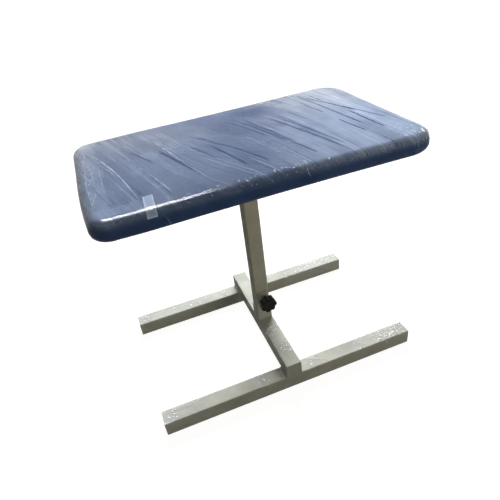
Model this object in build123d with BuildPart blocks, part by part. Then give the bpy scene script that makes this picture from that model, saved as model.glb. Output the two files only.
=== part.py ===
from build123d import *
import math
import os

# Height-adjustable padded gymnastics stand: a padded board on a square telescopic column that
# stands on an H-shaped tube base. Millimetres, +Z up. The origin is on the floor at the middle of
# the base, X runs along the padded top and the clamp knob is on the -Y side.

# ---------------------------------------------------------------- driving dimensions
# Base of square tube: two foot bars on the floor and one cross bar on top of them.
base_tube = 50.0
base_wall = 2.0
base_corner = 3.5
foot_bar_length = 830.0
base_depth = 505.0
end_plate_thickness = 2.0
base_weld_leg = 4.0

# Inner post, and the socket that holds its foot on the cross bar.
post_tube = 40.0
post_wall = 2.0
post_corner = 3.0
post_headroom = 20.0
socket_height = 44.0
socket_clearance = 0.05
socket_bore_corner = 2.0
socket_weld_leg = 3.0

# Outer column, which slides up and down the post.
column_clearance = 0.5
column_wall = 2.0
column_corner = 3.0
column_bore_corner = 1.5
column_rest_gap = 0.3

# Clamp: welded block, threaded stud and star knob.
clamp_rise = 57.0
clamp_block_size = 30.0
clamp_block_depth = 14.0
clamp_block_edge = 1.5
clamp_weld_leg = 3.0
stud_diameter = 10.0
stud_thread_clearance = 0.05
stud_length = 25.0
stud_tip_gap = 0.3
stud_tip_chamfer = 1.5
stud_head_diameter = 14.0
stud_head_length = 8.0
stud_embedded_length = 22.0
column_hole_clearance = 1.0
knob_diameter = 55.0
knob_lobes = 7
knob_lobe_radius = 8.5
knob_valley_radius = 7.0
knob_grip_depth = 26.0
knob_grip_edge = 4.0
knob_hub_diameter = 30.0
knob_hub_end_diameter = 25.0
knob_hub_length = 12.0
knob_fit_clearance = 0.05
knob_dish_radius = 60.0
knob_dish_depth = 1.2

# Steelwork under the board.
top_plate_thickness = 6.0
top_plate_width = 120.0
top_plate_corner = 10.0
top_weld_leg = 4.0
rail_tube = 25.0
rail_wall = 1.5
rail_corner = 2.0
rail_length = 760.0
rail_spacing = 200.0
rail_weld_leg = 3.0
rail_cap_flange = 2.5
rail_cap_plug = 12.0
rail_cap_clearance = 0.1

# Bolts that hold the board to the rails.
bolts_per_rail = 2
bolt_spacing = 600.0
bolt_diameter = 6.0
bolt_hole_clearance = 0.6
bolt_head_flats = 10.0
bolt_head_height = 4.0
washer_diameter = 12.0
washer_thickness = 1.6
tee_nut_barrel_diameter = 8.0
tee_nut_flange_diameter = 19.0
tee_nut_flange_thickness = 1.2
tee_nut_thread_clearance = 0.05
tee_nut_board_clearance = 0.1

# Padded top.
pad_length = 876.0
pad_width = 550.0
pad_underside = 690.0
pad_shoulder_height = 48.0
pad_crown = 4.0
pad_plan_corner = 78.0
pad_top_edge_radius = 30.0
pad_bottom_edge_radius = 14.5
pad_draw_in = 1.5
cover_thickness = 1.2
cover_gap = 0.3
hem_inset = 45.0
board_thickness = 12.0
board_inset = 18.0

# ---------------------------------------------------------------- derived sizes
bar_offset = (base_depth - base_tube) / 2
foot_tube_length = foot_bar_length - 2 * end_plate_thickness
cross_tube_length = base_depth - 2 * end_plate_thickness
cross_bar_top = 2 * base_tube
socket_top = cross_bar_top + socket_height

board_bottom = pad_underside + cover_thickness
board_top = board_bottom + board_thickness
rail_bottom = board_bottom - rail_tube
column_top = rail_bottom - top_plate_thickness
column_bottom = socket_top + column_rest_gap
column_bore = post_tube + 2 * column_clearance
column_tube = column_bore + 2 * column_wall
post_top = column_top - post_headroom

clamp_height = column_bottom + clamp_rise
block_face = -column_tube / 2 - clamp_block_depth
stud_radius = stud_diameter / 2
stud_tip = -post_tube / 2 - stud_tip_gap
knob_back = stud_tip - stud_length
stud_end = knob_back - stud_embedded_length
knob_grip_back = knob_back - knob_hub_length
knob_front = knob_grip_back - knob_grip_depth

top_plate_length = rail_spacing + rail_tube + 2 * (rail_weld_leg + 1)
board_length = pad_length - 2 * board_inset
board_width = pad_width - 2 * board_inset
board_corner = pad_plan_corner - board_inset
bolt_head_top = rail_bottom - washer_thickness
bolt_tip = board_top - tee_nut_flange_thickness

os.makedirs("parts", exist_ok=True)


# ---------------------------------------------------------------- shared shapes
def tube_section(size, wall, corner, bore_corner):
    """The section of a square tube, drawn in the sketch that is open."""
    bore = size - 2 * wall
    RectangleRounded(size, size, corner)
    RectangleRounded(bore, bore, bore_corner, mode=Mode.SUBTRACT)


def foot_bar_plane(side):
    """The plane across a foot bar, in front (-1) or behind (+1)."""
    return Plane(origin=(0, side * bar_offset, base_tube / 2), x_dir=(0, 1, 0), z_dir=(1, 0, 0))


def rail_plane(side):
    """The plane across a support rail, in front (-1) or behind (+1)."""
    origin = (0, side * rail_spacing / 2, rail_bottom + rail_tube / 2)
    return Plane(origin=origin, x_dir=(0, 1, 0), z_dir=(1, 0, 0))


def bolt_positions():
    """The middle of every board bolt, as seen from above."""
    return GridLocations(bolt_spacing, rail_spacing, bolts_per_rail, 2)


def weld_ring(plane, leg, width, corner):
    """A weld bead round a square piece: it lies on the plane and tapers off it."""
    with BuildPart() as ring:
        with BuildSketch(plane):
            RectangleRounded(width + 2 * leg, width + 2 * leg, corner + leg)
        extrude(amount=leg)
        far_face = ring.faces().sort_by(Axis(plane.origin, plane.z_dir))[-1]
        chamfer(far_face.edges(), length=leg * 0.8)
        with BuildSketch(plane):
            RectangleRounded(width, width, corner)
        extrude(amount=leg, mode=Mode.SUBTRACT)
    return ring.part


def pad_outline(inset, height, corner, draw_in):
    """A plan section of the pad, moved in by inset, with its sides drawn in at their middles."""
    half_x = pad_length / 2 - inset
    half_y = pad_width / 2 - inset
    bulge = corner * math.sqrt(0.5)
    with BuildSketch(Plane.XY.offset(height)) as outline:
        with BuildLine():
            for side_x, side_y in ((1, 1), (-1, 1), (-1, -1), (1, -1)):
                along = side_x * (half_x - corner)
                across = side_y * (half_y - corner)
                ThreePointArc(
                    (along + side_x * corner, across),
                    (along + side_x * bulge, across + side_y * bulge),
                    (along, across + side_y * corner),
                )
            for side in (1, -1):
                ThreePointArc(
                    (half_x - corner, side * half_y),
                    (0, side * (half_y - draw_in)),
                    (corner - half_x, side * half_y),
                )
                ThreePointArc(
                    (side * half_x, half_y - corner),
                    (side * (half_x - draw_in), 0),
                    (side * half_x, corner - half_y),
                )
        make_face()
    return outline.sketch


def pad_sections(skin):
    """Insets and heights from the underside to the crown, for a form that lies skin inside the cover."""
    bottom_radius = pad_bottom_edge_radius - skin
    top_radius = pad_top_edge_radius - skin
    low = pad_underside + pad_bottom_edge_radius
    high = pad_underside + pad_shoulder_height - pad_top_edge_radius
    sections = []
    for step in range(4):
        turn = math.radians(90 * step / 3)
        inset = pad_bottom_edge_radius - bottom_radius * math.sin(turn)
        sections.append((inset, low - bottom_radius * math.cos(turn)))
    for step in range(7):
        turn = math.radians(84 * step / 6)
        inset = pad_top_edge_radius - top_radius * math.cos(turn)
        sections.append((inset, high + top_radius * math.sin(turn)))
    edge_inset, edge_height = sections[-1]
    middle_inset = 0.42 * pad_width
    for step in range(1, 4):
        share = step / 3
        inset = edge_inset + share * (middle_inset - edge_inset)
        rise = pad_crown * (1 - (1 - share) ** 2)
        sections.append((inset, edge_height + rise))
    return sections


def pad_form(skin):
    """The crowned cushion shape as a loft of plan sections, skin inside the cover's outer face."""
    outlines = []
    for inset, height in pad_sections(skin):
        share = 1 - inset / (pad_width / 2)
        corner = max(pad_plan_corner - inset, pad_plan_corner * share * 0.6)
        outlines.append(pad_outline(inset, height, corner, pad_draw_in * share))
    with BuildPart() as form:
        loft(sections=outlines, ruled=True)
    return form.part


# ---------------------------------------------------------------- base
with BuildPart() as front_foot_bar:
    with BuildSketch(foot_bar_plane(-1)):
        tube_section(base_tube, base_wall, base_corner, base_corner - base_wall)
    extrude(amount=foot_tube_length / 2, both=True)
front_foot_bar.part.label = "front_foot_bar"
export_step(front_foot_bar.part, "parts/front_foot_bar.step")

with BuildPart() as rear_foot_bar:
    with BuildSketch(foot_bar_plane(1)):
        tube_section(base_tube, base_wall, base_corner, base_corner - base_wall)
    extrude(amount=foot_tube_length / 2, both=True)
rear_foot_bar.part.label = "rear_foot_bar"
export_step(rear_foot_bar.part, "parts/rear_foot_bar.step")

with BuildPart() as foot_bar_end_plates:
    for side in (-1, 1):
        with BuildSketch(foot_bar_plane(side).offset(foot_tube_length / 2)):
            RectangleRounded(base_tube, base_tube, base_corner)
        extrude(amount=end_plate_thickness)
    mirror(about=Plane.YZ)
foot_bar_end_plates.part.label = "foot_bar_end_plates"
export_step(foot_bar_end_plates.part, "parts/foot_bar_end_plates.step")

cross_bar_plane = Plane.XZ.shift_origin((0, 0, base_tube * 1.5))
with BuildPart() as cross_bar:
    with BuildSketch(cross_bar_plane):
        tube_section(base_tube, base_wall, base_corner, base_corner - base_wall)
    extrude(amount=cross_tube_length / 2, both=True)
cross_bar.part.label = "cross_bar"
export_step(cross_bar.part, "parts/cross_bar.step")

with BuildPart() as cross_bar_end_plates:
    with BuildSketch(cross_bar_plane.offset(cross_tube_length / 2)):
        RectangleRounded(base_tube, base_tube, base_corner)
    extrude(amount=end_plate_thickness)
    mirror(about=Plane.XZ)
cross_bar_end_plates.part.label = "cross_bar_end_plates"
export_step(cross_bar_end_plates.part, "parts/cross_bar_end_plates.step")

# Four beads along the lower edges of the cross bar, one on each side of each joint.
with BuildPart() as cross_bar_welds:
    with BuildSketch(Plane.XZ.offset(bar_offset)):
        with BuildLine():
            Polyline(
                (base_tube / 2 - base_corner, base_tube),
                (base_tube / 2 + base_weld_leg, base_tube),
                (base_tube / 2, base_tube + base_weld_leg + base_corner),
                (base_tube / 2, base_tube + base_corner),
                close=True,
            )
        make_face()
    extrude(amount=base_tube / 2 - base_corner, both=True)
    mirror(about=Plane.YZ)
    mirror(about=Plane.XZ)
    add(cross_bar.part, mode=Mode.SUBTRACT)
cross_bar_welds.part.label = "cross_bar_welds"
export_step(cross_bar_welds.part, "parts/cross_bar_welds.step")

# ---------------------------------------------------------------- post and socket
post_plane = Plane.XY.offset(cross_bar_top)
with BuildPart() as post_socket:
    with BuildSketch(post_plane):
        bore = post_tube + 2 * socket_clearance
        tube_section(base_tube, (base_tube - bore) / 2, base_corner, socket_bore_corner)
    extrude(amount=socket_height)
post_socket.part.label = "post_socket"
export_step(post_socket.part, "parts/post_socket.step")

# Two beads where the flat faces of the socket stand on the cross bar, in front and behind.
with BuildPart() as socket_welds:
    with BuildSketch(Plane.YZ):
        with BuildLine():
            Polyline(
                (base_tube / 2, cross_bar_top),
                (base_tube / 2 + socket_weld_leg, cross_bar_top),
                (base_tube / 2, cross_bar_top + socket_weld_leg),
                close=True,
            )
        make_face()
    extrude(amount=base_tube / 2 - base_corner, both=True)
    mirror(about=Plane.XZ)
socket_welds.part.label = "socket_welds"
export_step(socket_welds.part, "parts/socket_welds.step")

with BuildPart() as inner_post:
    with BuildSketch(post_plane):
        tube_section(post_tube, post_wall, post_corner, post_corner - post_wall)
    extrude(amount=post_top - cross_bar_top)
inner_post.part.label = "inner_post"
export_step(inner_post.part, "parts/inner_post.step")

# ---------------------------------------------------------------- column
clamp_plane = Plane(origin=(0, 0, clamp_height), x_dir=(1, 0, 0), z_dir=(0, -1, 0))
with BuildPart() as outer_column:
    with BuildSketch(Plane.XY.offset(column_bottom)):
        tube_section(column_tube, column_wall, column_corner, column_bore_corner)
    extrude(amount=column_top - column_bottom)
    with BuildSketch(clamp_plane):
        Circle(stud_radius + column_hole_clearance)
    extrude(amount=column_tube, mode=Mode.SUBTRACT)
outer_column.part.label = "outer_column"
export_step(outer_column.part, "parts/outer_column.step")

with BuildPart() as column_top_plate:
    with BuildSketch(Plane.XY.offset(column_top)):
        RectangleRounded(top_plate_width, top_plate_length, top_plate_corner)
    extrude(amount=top_plate_thickness)
column_top_plate.part.label = "column_top_plate"
export_step(column_top_plate.part, "parts/column_top_plate.step")

with BuildPart() as column_top_weld:
    under_plate = Plane(origin=(0, 0, column_top), x_dir=(1, 0, 0), z_dir=(0, 0, -1))
    add(weld_ring(under_plate, top_weld_leg, column_tube, column_corner))
column_top_weld.part.label = "column_top_weld"
export_step(column_top_weld.part, "parts/column_top_weld.step")

# ---------------------------------------------------------------- clamp
column_face = clamp_plane.offset(column_tube / 2)
with BuildPart() as clamp_block:
    with BuildSketch(column_face):
        Rectangle(clamp_block_size, clamp_block_size)
    extrude(amount=clamp_block_depth)
    chamfer(faces().sort_by(Axis.Y)[0].edges(), length=clamp_block_edge)
    with BuildSketch(column_face):
        Circle(stud_radius + stud_thread_clearance)
    extrude(amount=clamp_block_depth, mode=Mode.SUBTRACT)
clamp_block.part.label = "clamp_block"
export_step(clamp_block.part, "parts/clamp_block.step")

with BuildPart() as clamp_block_weld:
    add(weld_ring(column_face, clamp_weld_leg, clamp_block_size, clamp_block_edge))
    with BuildSketch(column_face):
        Rectangle(clamp_block_size, clamp_block_size)
    extrude(amount=clamp_weld_leg, mode=Mode.SUBTRACT)
clamp_block_weld.part.label = "clamp_block_weld"
export_step(clamp_block_weld.part, "parts/clamp_block_weld.step")

# The stud turned about its own axis, from its tip at the post to the head moulded into the knob.
clamp_axis = Axis((0, 0, clamp_height), (0, -1, 0))
side_of_clamp = Plane(origin=(0, 0, clamp_height), x_dir=(0, -1, 0), z_dir=(1, 0, 0))
with BuildPart() as clamp_stud:
    with BuildSketch(side_of_clamp):
        with BuildLine():
            Polyline(
                (-stud_tip, 0),
                (-stud_tip, stud_radius - stud_tip_chamfer),
                (-stud_tip + stud_tip_chamfer, stud_radius),
                (-stud_end - stud_head_length, stud_radius),
                (-stud_end - stud_head_length, stud_head_diameter / 2),
                (-stud_end, stud_head_diameter / 2),
                (-stud_end, 0),
                close=True,
            )
        make_face()
    revolve(axis=clamp_axis)
clamp_stud.part.label = "clamp_stud"
export_step(clamp_stud.part, "parts/clamp_stud.step")

# Star knob: round lobes joined by round valleys on a tapered hub, with a shallow dish in the front.
lobe_circle = knob_diameter / 2 - knob_lobe_radius
half_pitch = 180 / knob_lobes
arc_distance = knob_lobe_radius + knob_valley_radius
across_lobes = lobe_circle * math.sin(math.radians(half_pitch))
valley_circle = lobe_circle * math.cos(math.radians(half_pitch)) + math.sqrt(
    arc_distance**2 - across_lobes**2
)
with BuildPart() as clamp_knob:
    with BuildSketch(clamp_plane.offset(-knob_grip_back)):
        with BuildLine():
            for lobe in range(knob_lobes):
                middle = 2 * half_pitch * lobe
                lobe_centre = Vector(lobe_circle, 0).rotate(Axis.Z, middle)
                valley_before = Vector(valley_circle, 0).rotate(Axis.Z, middle - half_pitch)
                valley_after = Vector(valley_circle, 0).rotate(Axis.Z, middle + half_pitch)
                share = knob_lobe_radius / arc_distance
                start = lobe_centre + (valley_before - lobe_centre) * share
                end = lobe_centre + (valley_after - lobe_centre) * share
                next_start = start.rotate(Axis.Z, 2 * half_pitch)
                tip = Vector(knob_diameter / 2, 0).rotate(Axis.Z, middle)
                dip = Vector(valley_circle - knob_valley_radius, 0).rotate(Axis.Z, middle + half_pitch)
                ThreePointArc(start, tip, end)
                ThreePointArc(end, dip, next_start)
        make_face()
    extrude(amount=knob_grip_depth)
    fillet(faces().sort_by(Axis.Y)[0].edges(), radius=knob_grip_edge)
    chamfer(faces().sort_by(Axis.Y)[-1].edges(), length=knob_grip_edge / 2)
    with BuildSketch(side_of_clamp):
        with BuildLine():
            Polyline(
                (-knob_back, 0),
                (-knob_back, knob_hub_end_diameter / 2),
                (-knob_grip_back, knob_hub_diameter / 2),
                (-knob_grip_back + knob_grip_edge, knob_hub_diameter / 2),
                (-knob_grip_back + knob_grip_edge, 0),
                close=True,
            )
        make_face()
    revolve(axis=clamp_axis)
    with Locations((0, knob_front - knob_dish_radius + knob_dish_depth, clamp_height)):
        Sphere(knob_dish_radius, mode=Mode.SUBTRACT)
    with BuildSketch(side_of_clamp):
        bore_radius = stud_radius + knob_fit_clearance
        pocket_radius = stud_head_diameter / 2 + knob_fit_clearance
        pocket_start = -stud_end - stud_head_length - knob_fit_clearance
        pocket_end = -stud_end + knob_fit_clearance
        with BuildLine():
            Polyline(
                (-knob_back, 0),
                (-knob_back, bore_radius),
                (pocket_start, bore_radius),
                (pocket_start, pocket_radius),
                (pocket_end, pocket_radius),
                (pocket_end, 0),
                close=True,
            )
        make_face()
    revolve(axis=clamp_axis, mode=Mode.SUBTRACT)
clamp_knob.part.label = "clamp_knob"
export_step(clamp_knob.part, "parts/clamp_knob.step")

# ---------------------------------------------------------------- steelwork under the board
with BuildPart() as front_support_rail:
    with BuildSketch(rail_plane(-1)):
        tube_section(rail_tube, rail_wall, rail_corner, rail_corner - rail_wall)
    extrude(amount=rail_length / 2, both=True)
    with BuildSketch(Plane.XY.offset(rail_bottom)):
        with bolt_positions():
            Circle((bolt_diameter + bolt_hole_clearance) / 2)
    extrude(amount=rail_tube, mode=Mode.SUBTRACT)
front_support_rail.part.label = "front_support_rail"
export_step(front_support_rail.part, "parts/front_support_rail.step")

with BuildPart() as rear_support_rail:
    with BuildSketch(rail_plane(1)):
        tube_section(rail_tube, rail_wall, rail_corner, rail_corner - rail_wall)
    extrude(amount=rail_length / 2, both=True)
    with BuildSketch(Plane.XY.offset(rail_bottom)):
        with bolt_positions():
            Circle((bolt_diameter + bolt_hole_clearance) / 2)
    extrude(amount=rail_tube, mode=Mode.SUBTRACT)
rear_support_rail.part.label = "rear_support_rail"
export_step(rear_support_rail.part, "parts/rear_support_rail.step")

# Beads along both sides of each rail where it crosses the top plate.
with BuildPart() as rail_welds:
    with BuildSketch(rail_plane(1)):
        with BuildLine():
            Polyline(
                (rail_tube / 2 - rail_corner, -rail_tube / 2),
                (rail_tube / 2 + rail_weld_leg, -rail_tube / 2),
                (rail_tube / 2, -rail_tube / 2 + rail_weld_leg + rail_corner),
                (rail_tube / 2, -rail_tube / 2 + rail_corner),
                close=True,
            )
        make_face()
        mirror(about=Plane.YZ)
    extrude(amount=top_plate_width / 2 - top_plate_corner, both=True)
    add(rear_support_rail.part, mode=Mode.SUBTRACT)
    mirror(about=Plane.XZ)
rail_welds.part.label = "rail_welds"
export_step(rail_welds.part, "parts/rail_welds.step")

# Plastic plugs that close the ends of the rails.
with BuildPart() as rail_end_caps:
    plug = rail_tube - 2 * rail_wall - 2 * rail_cap_clearance
    with BuildSketch(rail_plane(1).offset(rail_length / 2)):
        RectangleRounded(rail_tube, rail_tube, rail_corner)
    extrude(amount=rail_cap_flange)
    with BuildSketch(rail_plane(1).offset(rail_length / 2)):
        RectangleRounded(plug, plug, rail_corner - rail_wall)
    extrude(amount=-rail_cap_plug)
    mirror(about=Plane.XZ)
    mirror(about=Plane.YZ)
rail_end_caps.part.label = "rail_end_caps"
export_step(rail_end_caps.part, "parts/rail_end_caps.step")

with BuildPart() as board_bolts:
    with BuildSketch(Plane.XY.offset(bolt_head_top)):
        with bolt_positions():
            RegularPolygon(bolt_head_flats / 2, 6, major_radius=False)
    extrude(amount=-bolt_head_height)
    with BuildSketch(Plane.XY.offset(bolt_head_top)):
        with bolt_positions():
            Circle(bolt_diameter / 2)
    extrude(amount=bolt_tip - bolt_head_top)
board_bolts.part.label = "board_bolts"
export_step(board_bolts.part, "parts/board_bolts.step")

with BuildPart() as bolt_washers:
    with BuildSketch(Plane.XY.offset(bolt_head_top)):
        with bolt_positions():
            Circle(washer_diameter / 2)
            Circle((bolt_diameter + bolt_hole_clearance) / 2, mode=Mode.SUBTRACT)
    extrude(amount=washer_thickness)
bolt_washers.part.label = "bolt_washers"
export_step(bolt_washers.part, "parts/bolt_washers.step")

# ---------------------------------------------------------------- padded top
barrel_hole = tee_nut_barrel_diameter / 2 + tee_nut_board_clearance
with BuildPart() as plywood_board:
    with BuildSketch(Plane.XY.offset(board_bottom)):
        RectangleRounded(board_length, board_width, board_corner)
    extrude(amount=board_thickness)
    with Locations(Plane.XY.offset(board_top)):
        with bolt_positions():
            CounterBoreHole(
                radius=barrel_hole,
                counter_bore_radius=tee_nut_flange_diameter / 2 + tee_nut_board_clearance,
                counter_bore_depth=tee_nut_flange_thickness,
            )
plywood_board.part.label = "plywood_board"
export_step(plywood_board.part, "parts/plywood_board.step")

# Tee nuts pressed into the board from above, flush with its top.
with BuildPart() as tee_nuts:
    with BuildSketch(Plane.XY.offset(board_top)):
        with bolt_positions():
            Circle(tee_nut_flange_diameter / 2)
    extrude(amount=-tee_nut_flange_thickness)
    with BuildSketch(Plane.XY.offset(board_top)):
        with bolt_positions():
            Circle(tee_nut_barrel_diameter / 2)
    extrude(amount=-board_thickness)
    with BuildSketch(Plane.XY.offset(board_top)):
        with bolt_positions():
            Circle(bolt_diameter / 2 + tee_nut_thread_clearance)
    extrude(amount=-board_thickness, mode=Mode.SUBTRACT)
tee_nuts.part.label = "tee_nuts"
export_step(tee_nuts.part, "parts/tee_nuts.step")

# Foam over the board and round its edge.
with BuildPart() as foam_pad:
    add(pad_form(cover_thickness + cover_gap))
    with BuildSketch(Plane.XY.offset(pad_underside)):
        RectangleRounded(
            board_length + 2 * cover_gap, board_width + 2 * cover_gap, board_corner + cover_gap
        )
    extrude(amount=board_top - pad_underside, mode=Mode.SUBTRACT)
foam_pad.part.label = "foam_pad"
export_step(foam_pad.part, "parts/foam_pad.step")

# Cover stretched over the foam and turned in under the board as a hem.
with BuildPart() as vinyl_cover:
    add(pad_form(0))
    add(pad_form(cover_thickness), mode=Mode.SUBTRACT)
    with BuildSketch(Plane.XY.offset(pad_underside)):
        RectangleRounded(
            pad_length - 2 * hem_inset, pad_width - 2 * hem_inset, pad_plan_corner - hem_inset
        )
    extrude(amount=cover_thickness, mode=Mode.SUBTRACT)
vinyl_cover.part.label = "vinyl_cover"
export_step(vinyl_cover.part, "parts/vinyl_cover.step")
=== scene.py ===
import math
import random

import bmesh
import bpy
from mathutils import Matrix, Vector, noise
from mathutils.bvhtree import BVHTree


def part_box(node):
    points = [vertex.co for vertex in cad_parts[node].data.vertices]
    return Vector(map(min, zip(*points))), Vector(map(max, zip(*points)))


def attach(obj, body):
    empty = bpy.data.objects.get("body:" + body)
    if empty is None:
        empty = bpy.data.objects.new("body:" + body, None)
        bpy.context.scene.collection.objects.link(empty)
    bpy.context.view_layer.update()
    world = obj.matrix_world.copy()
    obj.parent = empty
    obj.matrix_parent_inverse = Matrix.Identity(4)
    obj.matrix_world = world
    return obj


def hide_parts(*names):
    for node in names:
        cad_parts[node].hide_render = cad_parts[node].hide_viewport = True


# Looks of the height-adjustable padded stand. Metres, +Z up, in the frame of the CAD model: the
# origin is on the floor at the middle of the base, X runs along the pad, the knob is at -Y.

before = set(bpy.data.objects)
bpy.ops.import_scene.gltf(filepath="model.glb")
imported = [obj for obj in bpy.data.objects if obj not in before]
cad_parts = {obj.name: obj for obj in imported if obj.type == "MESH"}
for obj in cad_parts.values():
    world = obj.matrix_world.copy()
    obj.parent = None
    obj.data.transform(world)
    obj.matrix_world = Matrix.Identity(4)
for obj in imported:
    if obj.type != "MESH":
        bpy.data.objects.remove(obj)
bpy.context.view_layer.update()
MM = 0.001

# ---------------------------------------------------------------- sizes
# Padded top: its form, its cover and hem, the foam, and the pleats and staples of the cover.
cover_low, cover_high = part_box("vinyl_cover")
board_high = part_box("plywood_board")[1]
pad_half_x = cover_high.x
pad_half_y = cover_high.y
pad_underside = cover_low.z
pad_top = cover_high.z
pad_crown = 4 * MM
pad_plan_corner = 78 * MM
pad_top_edge_radius = 30 * MM
pad_bottom_edge_radius = 14.5 * MM
pad_draw_in = 1.5 * MM
cover_thickness = 1.2 * MM
hem_inset = 45 * MM
foam_skin = 1.6 * MM
foam_beside_board = 0.3 * MM
foam_above_board = 0.2 * MM
hem_steps = 4
pad_cells_x, pad_cells_y = 96, 60
swell_limit = 1.0 * MM
swell_frames = 20
pleat_depth = 1.4 * MM
pleat_height = 22 * MM
pleats_per_turn = 36
staple_spacing = 40 * MM
staple_line_inset = 8 * MM

# Stretch film: its gap to what it lies on, its tuck under the pad's hem, how far the films on
# the bars keep from the cross bar, and how low they reach.
film_gap = 0.5 * MM
beside_cross = 31 * MM
foot_film_bottom = 1 * MM
cross_film_bottom = 59 * MM
glint_margin = 15 * MM
film_cell = 4 * MM
film_marks = ("fold_across", "film_x", "film_y", "haze_and_reflection", "crease", "crumple")

# The pad is covered by hand, so each corner has its own roundness, its own draw inward along X
# and Y, and its own height of foam. They run counter-clockwise from the front left corner.
corner_radius = [46 * MM, 88 * MM, 84 * MM, 50 * MM]
corner_draw_x = [17 * MM, 0 * MM, 8 * MM, -1 * MM]
corner_draw_y = [4 * MM, 0.5 * MM, 0 * MM, 9 * MM]
corner_rise = [0 * MM, 2.5 * MM, 4.2 * MM, -4.2 * MM]
side_bulge = 3.5 * MM
right_end_hollow = 3.5 * MM
right_lip_lift = 2.5 * MM


# ---------------------------------------------------------------- general helpers
def set_all(thing, **settings):
    """Give a thing its settings by name."""
    for name, value in settings.items():
        setattr(thing, name, value)


# ---------------------------------------------------------------- mesh helpers
def new_piece(name, vertices, faces, body, material, smooth=True):
    """A mesh piece that rides on a body and has one material."""
    mesh = bpy.data.meshes.new(name)
    mesh.from_pydata([tuple(v) for v in vertices], [], faces)
    mesh.validate()
    mesh.materials.append(material)
    mesh.polygons.foreach_set("use_smooth", [smooth] * len(mesh.polygons))
    piece = bpy.data.objects.new(name, mesh)
    bpy.context.scene.collection.objects.link(piece)
    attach(piece, body)
    return piece


def face_outward(piece):
    """Turn the faces of a closed or nearly closed piece so that they all look outward."""
    form = bmesh.new()
    form.from_mesh(piece.data)
    bmesh.ops.recalc_face_normals(form, faces=form.faces)
    form.to_mesh(piece.data)
    form.free()


def apply_modifiers(piece):
    """Replace the piece's mesh by its evaluated one and drop its modifiers."""
    graph = bpy.context.evaluated_depsgraph_get()
    evaluated = piece.evaluated_get(graph)
    finished = bpy.data.meshes.new_from_object(evaluated, depsgraph=graph)
    finished.name = piece.name
    piece.modifiers.clear()
    piece.data = finished


def mark_film(piece, marks):
    """Keep six numbers for each vertex of a film piece, for its material to read."""
    for name, values in zip(film_marks, zip(*marks)):
        attribute = piece.data.attributes.new(name, "FLOAT", "POINT")
        attribute.data.foreach_set("value", values)


def gently(value, low, high):
    """A smooth step from 0 at low to 1 at high."""
    share = min(1.0, max(0.0, (value - low) / (high - low)))
    return share * share * (3 - 2 * share)


def near(place, middle, reach):
    """1 at the middle, falling to 0 past its reach."""
    return math.exp(-(((place - middle) / reach) ** 2))


# ---------------------------------------------------------------- shader helpers
def add_node(tree, kind, **settings):
    """A shader node of this kind with its settings given by name."""
    made = tree.nodes.new("ShaderNode" + kind)
    set_all(made, **settings)
    return made


def feed(socket, value):
    """Give a socket a plain value, or link it to the output that the value is."""
    if isinstance(value, bpy.types.NodeSocket):
        socket.id_data.links.new(value, socket)
    else:
        socket.default_value = value


def set_inputs(made, **values):
    """Feed a node's sockets by name; an underscore stands for a space."""
    for name, value in values.items():
        feed(made.inputs[name.replace("_", " ")], value)
    return made


def math_node(operation, *values):
    """A Math node over numbers and sockets, of which one at least is a socket."""
    tree = next(value.id_data for value in values if isinstance(value, bpy.types.NodeSocket))
    made = add_node(tree, "Math", operation=operation)
    for socket, value in zip(made.inputs, values):
        feed(socket, value)
    return made.outputs[0]


def multiply(first, *others):
    """The product of two or more values, multiplied in their order."""
    for other in others:
        first = math_node("MULTIPLY", first, other)
    return first


def remap(value, low, high, new_low=0.0, new_high=1.0):
    """A smooth step of a value from low to high onto a new range."""
    made = add_node(value.id_data, "MapRange", interpolation_type="SMOOTHSTEP")
    set_inputs(made, Value=value, From_Min=low, From_Max=high, To_Min=new_low, To_Max=new_high)
    return made.outputs["Result"]


def mix_colours(share, first, second):
    """Blend two colours, each a socket or a colour, by a share that is a socket."""
    made = add_node(share.id_data, "Mix", data_type="RGBA")
    feed(made.inputs["Factor"], share)
    for socket, value in ((made.inputs[6], first), (made.inputs[7], second)):
        feed(socket, (*value, 1) if isinstance(value, tuple) else value)
    return made.outputs[2]


def object_coordinates(tree, lean=0.0):
    """Object coordinates turned about Z by lean, in metres."""
    mapping = set_inputs(add_node(tree, "Mapping"), Rotation=(0, 0, lean))
    feed(mapping.inputs["Vector"], add_node(tree, "TexCoord").outputs["Object"])
    return mapping.outputs["Vector"]


def noise_value(coordinates, scale, detail=3.0, roughness=0.5):
    """The value of a noise texture; scale is a number or a socket."""
    made = add_node(coordinates.id_data, "TexNoise")
    set_inputs(made, Vector=coordinates, Scale=scale, Detail=detail, Roughness=roughness)
    return made.outputs["Fac"]


def join_xyz(tree, **parts):
    """A vector from its X, Y and Z."""
    return set_inputs(add_node(tree, "CombineXYZ"), **parts).outputs["Vector"]


def new_group(name, inputs, outputs):
    """An empty shader node group, the values given to it and its output node.

    The inputs are first values by name, each a number, a place or a colour."""
    tree = bpy.data.node_groups.new(name, "ShaderNodeTree")
    new_socket = tree.interface.new_socket
    for title, value in inputs.items():
        kind = NUMBER if isinstance(value, float) else {3: PLACE, 4: COLOUR}[len(value)]
        new_socket(name=title, in_out="INPUT", socket_type=kind).default_value = value
    for title in outputs:
        kind = COLOUR if title == "Color" else NUMBER
        new_socket(name=title, in_out="OUTPUT", socket_type=kind)
    return tree, tree.nodes.new("NodeGroupInput").outputs, tree.nodes.new("NodeGroupOutput")


def place_group(tree, group, **values):
    """Put a node group in a material with its own values."""
    made = tree.nodes.new("ShaderNodeGroup")
    made.node_tree = group
    return set_inputs(made, **values)


def new_material(name, **shader_values):
    """A material with a Principled shader; its plain values are set on the shader's sockets."""
    material = bpy.data.materials.new(name)
    material.use_nodes = True
    tree = material.node_tree
    return material, tree, set_inputs(tree.nodes["Principled BSDF"], **shader_values)


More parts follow.
